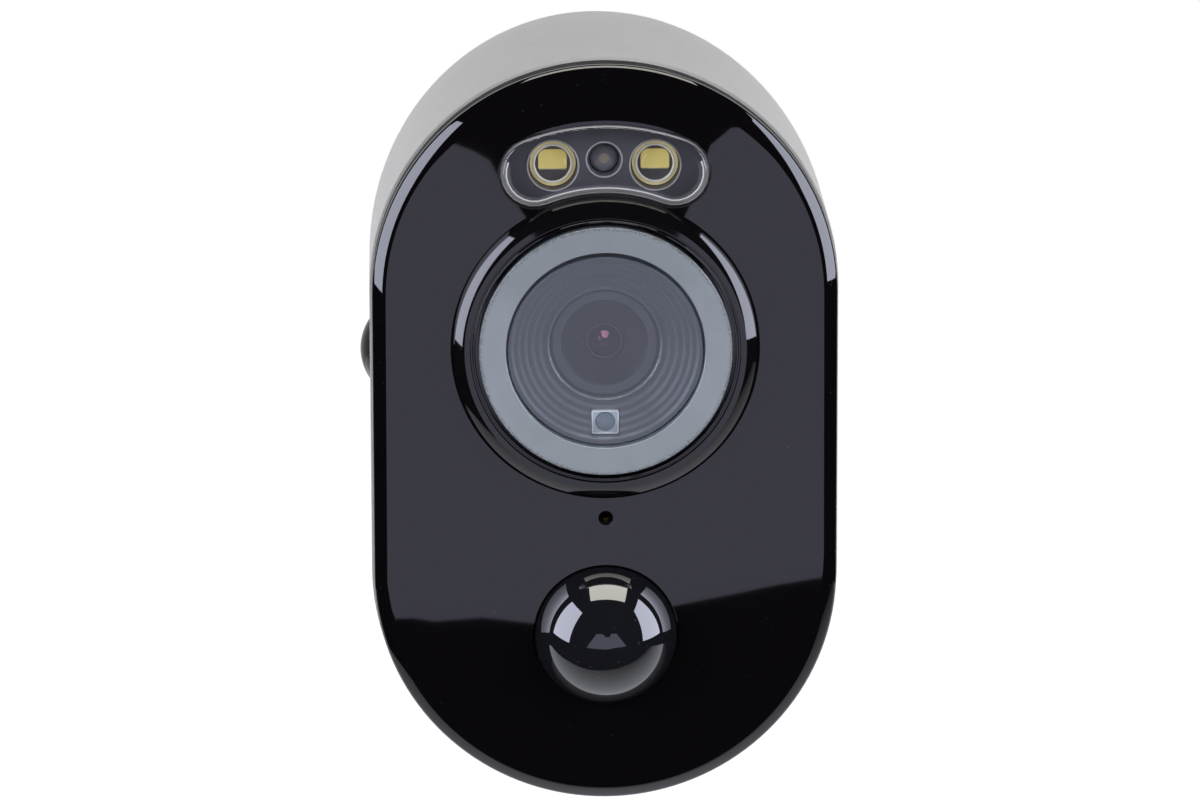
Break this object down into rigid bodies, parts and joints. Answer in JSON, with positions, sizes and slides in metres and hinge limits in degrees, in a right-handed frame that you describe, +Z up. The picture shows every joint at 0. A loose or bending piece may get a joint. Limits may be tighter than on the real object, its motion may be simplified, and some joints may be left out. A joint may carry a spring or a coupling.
{
  "type": "security camera",
  "caption": "Battery security camera with lens window, spotlight and motion dome, on a swivelling and tilting wall bracket with a clamp knob.",
  "frame": {"origin": "centre of the wall plate on the wall plane", "axes": "+Y into the wall, the camera looks along -Y, +Z up, +X to the right as seen from in front"},
  "size_m": [0.0582, 0.1384, 0.0914],
  "materials": {
    "front_cover": "polished",
    "lens_bezel": "polished",
    "glass_ring": "frosted tinted glass",
    "cover_glass": "coated clear glass",
    "lens_baffle": "fine stepped, matt",
    "lens_barrel": "satin",
    "lens_elements": "coated",
    "lens_holder": "moulded",
    "ir_cut_filter": "coated",
    "ir_cut_actuator": "enamelled wire",
    "image_sensor": "polished",
    "sensor_board": "solder mask",
    "ir_led": "translucent lens",
    "ir_board": "solder mask",
    "spotlight_window": "clear",
    "spotlight_tray": "satin",
    "spotlight_leds": "phosphor under clear lens",
    "daylight_sensor": "polished",
    "spotlight_board": "solder mask",
    "pir_dome": "polished smoked",
    "pir_retainer": "moulded",
    "pir_sensor": "tin plated",
    "motion_board": "solder mask",
    "microphone": "gold plated can",
    "mic_boot": "matt",
    "inner_chassis": "moulded",
    "housing_seal": "matt",
    "rear_housing": "fine satin",
    "chassis_screws": "zinc plated",
    "main_board": "solder mask",
    "board_screws": "zinc plated",
    "heat_spreader": "milled",
    "wifi_antenna": "etched copper foil",
    "battery_cells": "heat-shrink sleeve",
    "battery_cradle": "moulded",
    "battery_leads": "silicone",
    "flat_cables": "polyester ribbon",
    "speaker": "stamped basket",
    "port_panel": "moulded",
    "port_board": "solder mask",
    "usb_socket": "drawn shell",
    "card_slot": "stamped",
    "memory_card": "moulded",
    "power_switch": "moulded",
    "switch_slider": "ribbed",
    "reset_switch": "moulded",
    "reset_button": "moulded",
    "port_flap": "soft matt",
    "thread_insert": "machined",
    "wall_plate": "fine satin",
    "swivel_pad": "matt",
    "swivel_arm": "fine satin",
    "swivel_screw": "zinc plated",
    "clamp_bolt": "zinc plated",
    "clamp_knob": "polished with ribs",
    "knob_insert": "machined",
    "pivot_head": "glass-filled",
    "tilt_washers": "natural nylon",
    "tripod_stud": "rolled thread",
    "lock_ring": "grip scallops"
  },
  "bodies": {
    "wall_mount": {"wall_plate": "wall_plate", "swivel_pad": "swivel_pad"},
    "arm": {"swivel_arm": "swivel_arm", "swivel_screw": "swivel_screw", "clamp_bolt": "clamp_bolt", "tilt_washers": "tilt_washers"},
    "knob": {"clamp_knob": "clamp_knob", "knob_insert": "knob_insert"},
    "tilt_head": {"pivot_head": "pivot_head", "tripod_stud": "tripod_stud"},
    "lock_ring": {"lock_ring": "lock_ring"},
    "camera": {"front_cover": "front_cover", "lens_bezel": "lens_bezel", "glass_ring": "glass_ring", "cover_glass": "cover_glass", "lens_baffle": "lens_baffle", "lens_barrel": "lens_barrel", "lens_elements": "lens_elements", "lens_holder": "lens_holder", "ir_cut_actuator": "ir_cut_actuator", "image_sensor": "image_sensor", "sensor_board": "sensor_board", "ir_led": "ir_led", "ir_board": "ir_board", "spotlight_window": "spotlight_window", "spotlight_tray": "spotlight_tray", "spotlight_leds": "spotlight_leds", "daylight_sensor": "daylight_sensor", "spotlight_board": "spotlight_board", "pir_dome": "pir_dome", "pir_retainer": "pir_retainer", "pir_sensor": "pir_sensor", "motion_board": "motion_board", "microphone": "microphone", "mic_boot": "mic_boot", "inner_chassis": "inner_chassis", "housing_seal": "housing_seal", "rear_housing": "rear_housing", "chassis_screws": "chassis_screws", "main_board": "main_board", "board_screws": "board_screws", "heat_spreader": "heat_spreader", "wifi_antenna": "wifi_antenna", "battery_cells": "battery_cells", "battery_cradle": "battery_cradle", "battery_leads": "battery_leads", "flat_cables": "flat_cables", "speaker": "speaker", "port_panel": "port_panel", "port_board": "port_board", "usb_socket": "usb_socket", "card_slot": "card_slot", "power_switch": "power_switch", "reset_switch": "reset_switch", "thread_insert": "thread_insert"},
    "flap": {"port_flap": "port_flap"},
    "switch": {"switch_slider": "switch_slider"},
    "reset": {"reset_button": "reset_button"},
    "card": {"memory_card": "memory_card"},
    "filter": {"ir_cut_filter": "ir_cut_filter"}
  },
  "joints": [
    {"name": "arm_swivel", "type": "hinge", "parent": "wall_mount", "child": "arm", "pos_m": [0, 0, 0], "axis": [0, 1, 0], "continuous": true},
    {"name": "head_tilt", "type": "hinge", "parent": "arm", "child": "tilt_head", "pos_m": [0, -0.038, 0], "axis": [1, 0, 0], "range_deg": [-45, 60]},
    {"name": "camera_roll", "type": "hinge", "parent": "tilt_head", "child": "camera", "pos_m": [0, -0.056, 0], "axis": [0, 1, 0], "range_deg": [-180, 180]},
    {"name": "lock_ring_spin", "type": "hinge", "parent": "tilt_head", "child": "lock_ring", "pos_m": [0, -0.0524, 0], "axis": [0, 1, 0], "continuous": true},
    {"name": "knob_spin", "type": "hinge", "parent": "arm", "child": "knob", "pos_m": [-0.02, -0.038, 0], "axis": [1, 0, 0], "continuous": true},
    {"name": "flap_hinge", "type": "hinge", "parent": "camera", "child": "flap", "pos_m": [0, -0.0568, 0.0344], "axis": [1, 0, 0], "range_deg": [0, 110]},
    {"name": "power_slide", "type": "slide", "parent": "camera", "child": "switch", "axis": [1, 0, 0], "range_m": [0, 0.002]},
    {"name": "reset_press", "type": "slide", "parent": "camera", "child": "reset", "axis": [0, -1, 0], "range_m": [0, 0.0006], "stiffness_N_per_m": 600, "springref_m": -0.0006},
    {"name": "card_travel", "type": "slide", "parent": "camera", "child": "card", "axis": [0, 1, 0], "range_m": [-0.0008, 0.003]},
    {"name": "filter_slide", "type": "slide", "parent": "camera", "child": "filter", "axis": [1, 0, 0], "range_m": [0, 0.004]}
  ]
}
